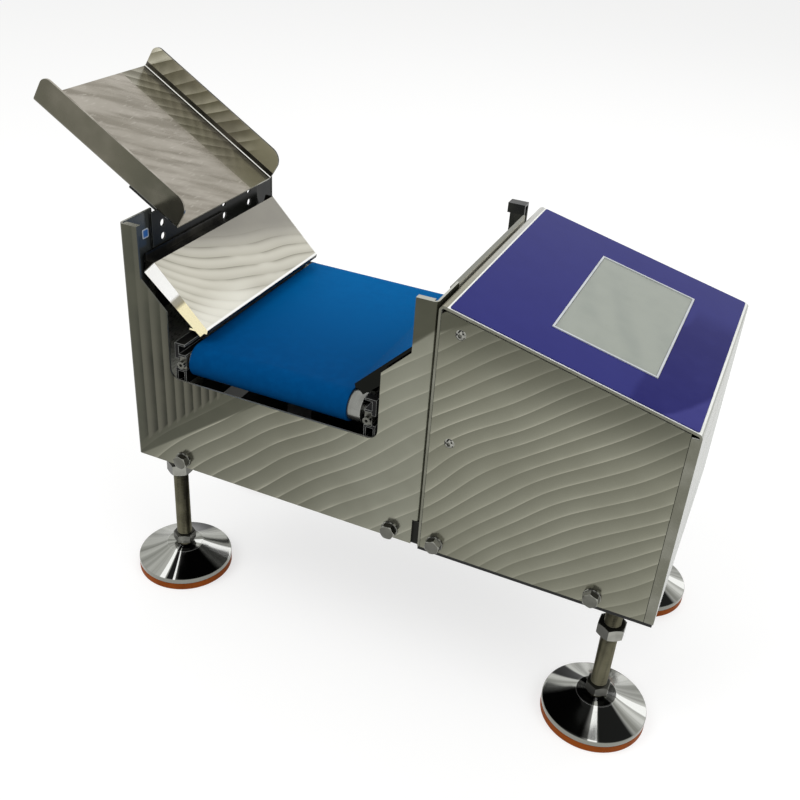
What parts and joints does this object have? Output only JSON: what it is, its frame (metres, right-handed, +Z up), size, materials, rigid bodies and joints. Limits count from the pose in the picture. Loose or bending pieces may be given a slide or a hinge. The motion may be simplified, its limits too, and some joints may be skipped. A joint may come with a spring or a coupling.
{
  "type": "checkweigher",
  "caption": "Compact belt checkweigher with a sloped infeed chute, splayed guide plates, a short weighing belt, a sloped touch-screen console and levelling feet.",
  "frame": {"origin": "on the floor under the middle of the machine's box", "axes": "+X from the infeed chute to the console, +Y from the front panel to the rear panel, +Z up"},
  "size_m": [0.6574, 0.3, 0.5065],
  "materials": {
    "panel_steel": "polished stainless sheet with soft wavy reflections",
    "polished_steel": "bright polished stainless sheet",
    "bracket_steel": "dull stainless sheet in shade",
    "frame_steel": "satin stainless tube",
    "machined_aluminium": "machined",
    "black_base": "black satin",
    "black_rail": "black anodised",
    "roller_steel": "ground steel",
    "pulley_aluminium": "turned",
    "blue_belt": "smooth food-grade belt",
    "drive_belt": "moulded",
    "motor_black": "black satin",
    "bolt_steel": "bright stainless",
    "overlay_violet": "printed film, glossy",
    "bezel_silver": "satin",
    "screen_glass": "screen behind a clear front",
    "black_plastic": "moulded",
    "board_green": "lacquered board",
    "supply_case": "light shell standing for a caged supply",
    "stem_steel": "rolled thread",
    "foot_chrome": "mirror",
    "pad_rubber": "matt"
  },
  "bodies": {
    "machine": {"front_panel": "panel_steel", "rear_panel": "panel_steel", "left_wall": "panel_steel", "right_wall": "panel_steel", "front_rail": "frame_steel", "rear_rail": "frame_steel", "cross_rails": "frame_steel", "foot_bushes": "frame_steel", "conveyor_base_plate": "black_rail", "console_base_plate": "black_base", "load_cell_foot": "machined_aluminium", "load_cell": "machined_aluminium", "load_cell_head": "machined_aluminium", "weigh_plate": "black_rail", "rail_left": "black_rail", "rail_right": "black_rail", "slider_bed": "machined_aluminium", "idler_axle": "roller_steel", "tension_screws": "roller_steel", "drive_bearings": "roller_steel", "conveyor_belt": "blue_belt", "motor": "motor_black", "motor_bracket": "machined_aluminium", "timing_belt": "drive_belt", "deflector_plate": "polished_steel", "right_guide_plate": "polished_steel", "chute": "polished_steel", "chute_bracket": "bracket_steel", "chute_bolts": "bolt_steel", "console_wrap": "panel_steel", "console_front_panel": "panel_steel", "console_rear_panel": "panel_steel", "overlay": "overlay_violet", "screen_bezel": "bezel_silver", "touch_screen": "screen_glass", "hmi_module": "black_plastic", "controller_board": "board_green", "power_supply": "supply_case", "power_inlet": "black_plastic", "panel_bolts": "bolt_steel", "console_screws": "bolt_steel"},
    "drive": {"drive_roller": "roller_steel", "drive_pulley": "pulley_aluminium"},
    "idler": {"idler_roller": "roller_steel", "idler_bearings": "roller_steel"},
    "motor_rotor": {"motor_pulley": "pulley_aluminium"},
    "rocker": {"rocker_switch": "black_plastic"},
    "stem_front_left": {"foot_stem_front_left": "stem_steel"},
    "foot_front_left": {"foot_disc_front_left": "foot_chrome", "foot_pad_front_left": "pad_rubber"},
    "stem_front_right": {"foot_stem_front_right": "stem_steel"},
    "foot_front_right": {"foot_disc_front_right": "foot_chrome", "foot_pad_front_right": "pad_rubber"},
    "stem_rear_left": {"foot_stem_rear_left": "stem_steel"},
    "foot_rear_left": {"foot_disc_rear_left": "foot_chrome", "foot_pad_rear_left": "pad_rubber"},
    "stem_rear_right": {"foot_stem_rear_right": "stem_steel"},
    "foot_rear_right": {"foot_disc_rear_right": "foot_chrome", "foot_pad_rear_right": "pad_rubber"}
  },
  "joints": [
    {"name": "drive_roller_spin", "type": "hinge", "parent": "machine", "child": "drive", "pos_m": [-0.05329, 0.097, 0.28], "axis": [1, 0, 0], "continuous": true},
    {"name": "idler_roller_spin", "type": "hinge", "parent": "machine", "child": "idler", "pos_m": [-0.05329, -0.121, 0.28], "axis": [1, 0, 0], "continuous": true},
    {"name": "motor_spin", "type": "hinge", "parent": "machine", "child": "motor_rotor", "pos_m": [0.03271, 0.058, 0.225], "axis": [1, 0, 0], "continuous": true},
    {"name": "power_switch", "type": "hinge", "parent": "machine", "child": "rocker", "pos_m": [0.19546, 0.115, 0.227], "axis": [1, 0, 0], "range_deg": [-16, 0]},
    {"name": "level_front_left", "type": "slide", "parent": "machine", "child": "stem_front_left", "axis": [0, 0, 1], "range_m": [-0.015, 0.018]},
    {"name": "swivel_front_left", "type": "hinge", "parent": "stem_front_left", "child": "foot_front_left", "pos_m": [-0.18729, -0.1, 0.0237], "axis": [1, 0, 0], "range_deg": [-7, 7]},
    {"name": "level_front_right", "type": "slide", "parent": "machine", "child": "stem_front_right", "axis": [0, 0, 1], "range_m": [-0.015, 0.03]},
    {"name": "swivel_front_right", "type": "hinge", "parent": "stem_front_right", "child": "foot_front_right", "pos_m": [0.27871, -0.1, 0.0237], "axis": [1, 0, 0], "range_deg": [-7, 7]},
    {"name": "level_rear_left", "type": "slide", "parent": "machine", "child": "stem_rear_left", "axis": [0, 0, 1], "range_m": [-0.015, 0.018]},
    {"name": "swivel_rear_left", "type": "hinge", "parent": "stem_rear_left", "child": "foot_rear_left", "pos_m": [-0.18729, 0.1, 0.0237], "axis": [1, 0, 0], "range_deg": [-7, 7]},
    {"name": "level_rear_right", "type": "slide", "parent": "machine", "child": "stem_rear_right", "axis": [0, 0, 1], "range_m": [-0.015, 0.03]},
    {"name": "swivel_rear_right", "type": "hinge", "parent": "stem_rear_right", "child": "foot_rear_right", "pos_m": [0.27871, 0.1, 0.0237], "axis": [1, 0, 0], "range_deg": [-7, 7]}
  ],
  "couplings": [
    {"joint": "idler_roller_spin", "follows": "drive_roller_spin", "ratio": 1},
    {"joint": "motor_spin", "follows": "drive_roller_spin", "ratio": 1.2}
  ]
}
